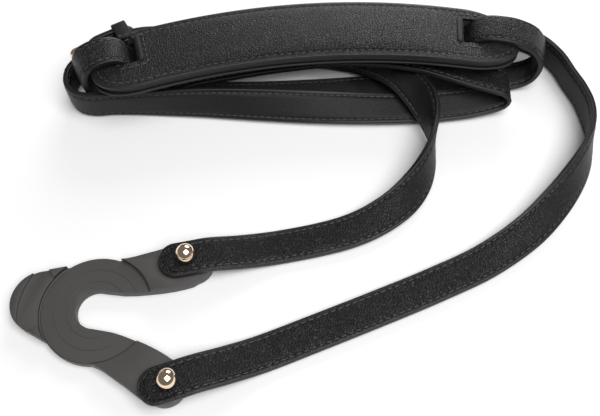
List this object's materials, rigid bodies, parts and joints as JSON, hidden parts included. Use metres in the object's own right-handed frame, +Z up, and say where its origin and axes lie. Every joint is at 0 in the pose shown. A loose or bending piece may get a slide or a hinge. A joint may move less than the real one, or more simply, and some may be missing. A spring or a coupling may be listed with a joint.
{
  "type": "saxophone neck strap",
  "caption": "Folded leather neck strap with a padded crescent shoulder pad, a pin buckle with a keeper, and a moulded U-shaped hook held by two ball studs.",
  "frame": {"origin": "middle of the folded strap's outline, on the surface that it lies on", "axes": "+X along the pad and the longest way across the folded strap, away from the hook; +Y from the hook towards the pad; +Z up, off the surface"},
  "size_m": [0.2512, 0.1888, 0.0305],
  "materials": {
    "grey_nylon": "matte moulded glass-filled nylon",
    "pale_gold_plate": "polished pale gold plate",
    "steel": "plain turned steel",
    "black_leather": "pebbled, slightly glossy",
    "black_lining_leather": "smooth, matte",
    "dark_felt": "felt, hidden between the leathers",
    "foam": "soft foam sheet, hidden between the leathers"
  },
  "bodies": {
    "strap_assembly": {"hook_plate": "grey_nylon", "stud_screw_a": "steel", "stud_screw_b": "steel", "tail_strap_face": "black_leather", "tail_strap_filler": "dark_felt", "tail_strap_lining": "black_lining_leather", "buckle_strap_face": "black_leather", "buckle_strap_filler": "dark_felt", "buckle_strap_lining": "black_lining_leather", "pad_face": "black_leather", "pad_foam": "foam", "pad_lining": "black_lining_leather", "buckle_fold": "black_leather"},
    "stud_a": {"ball_stud_a": "pale_gold_plate"},
    "stud_b": {"ball_stud_b": "pale_gold_plate"},
    "buckle": {"buckle_frame": "pale_gold_plate"},
    "prong": {"buckle_prong": "pale_gold_plate"},
    "keeper": {"keeper_loop": "black_leather"}
  },
  "joints": [
    {"name": "stud_a_spin", "type": "hinge", "parent": "strap_assembly", "child": "stud_a", "pos_m": [-0.05546, -0.03459, 0], "axis": [0, 0, 1], "continuous": true},
    {"name": "stud_b_spin", "type": "hinge", "parent": "strap_assembly", "child": "stud_b", "pos_m": [-0.05846, -0.08559, 0], "axis": [0, 0, 1], "continuous": true},
    {"name": "buckle_pivot", "type": "hinge", "parent": "strap_assembly", "child": "buckle", "pos_m": [-0.10326, 0.07011, 0.0109], "axis": [0, 0, -1], "range_deg": [0, 8]},
    {"name": "prong_pivot", "type": "hinge", "parent": "buckle", "child": "prong", "pos_m": [-0.10326, 0.07011, 0.0109], "axis": [0, 0, -1], "range_deg": [0, 12]},
    {"name": "keeper_slide", "type": "slide", "parent": "strap_assembly", "child": "keeper", "axis": [0.866, 0.5, 0], "range_m": [-0.0015, 0.0015]}
  ]
}
